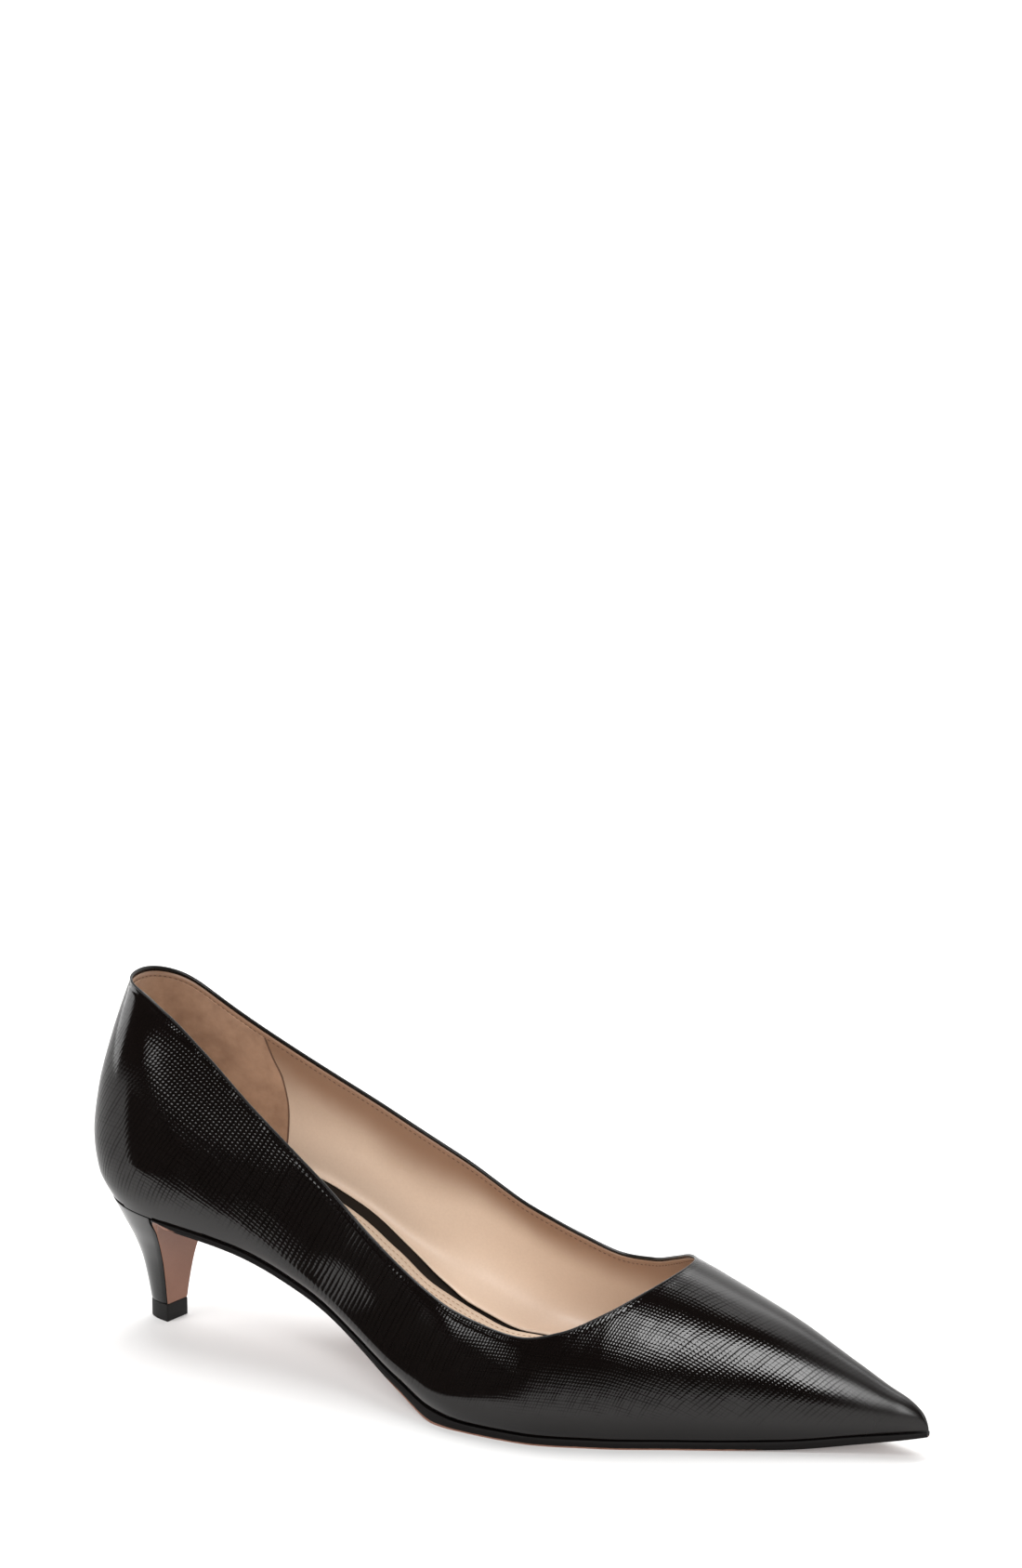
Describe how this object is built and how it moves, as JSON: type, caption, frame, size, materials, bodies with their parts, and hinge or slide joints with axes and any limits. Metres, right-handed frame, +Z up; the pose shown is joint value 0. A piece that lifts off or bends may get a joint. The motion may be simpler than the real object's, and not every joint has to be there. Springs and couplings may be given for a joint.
{
  "type": "pointed toe pump",
  "caption": "Slip-on court shoe with a pointed toe, a low slender heel, a low-cut open collar, a glossy embossed upper, a leather lining and an arched leather sole.",
  "frame": {"origin": "on the floor under the middle of the shoe's box", "axes": "+X from the heel to the toe, +Y to the medial side of this right shoe, +Z up"},
  "size_m": [0.2512, 0.0746, 0.1036],
  "materials": {
    "upper_patent": "black patent with a fine cross-hatched emboss",
    "insole_cover": "black satin cover",
    "sock_leather": "smooth beige leather",
    "sole_leather": "smooth nude sole leather with a black painted edge",
    "heel_cover": "smooth glossy black cover",
    "heel_tip": "matt black"
  },
  "bodies": {
    "root": {"upper": "upper_patent", "insole": "insole_cover", "sock": "sock_leather", "outsole": "sole_leather", "heel": "heel_cover", "top_piece": "heel_tip"}
  },
  "joints": []
}
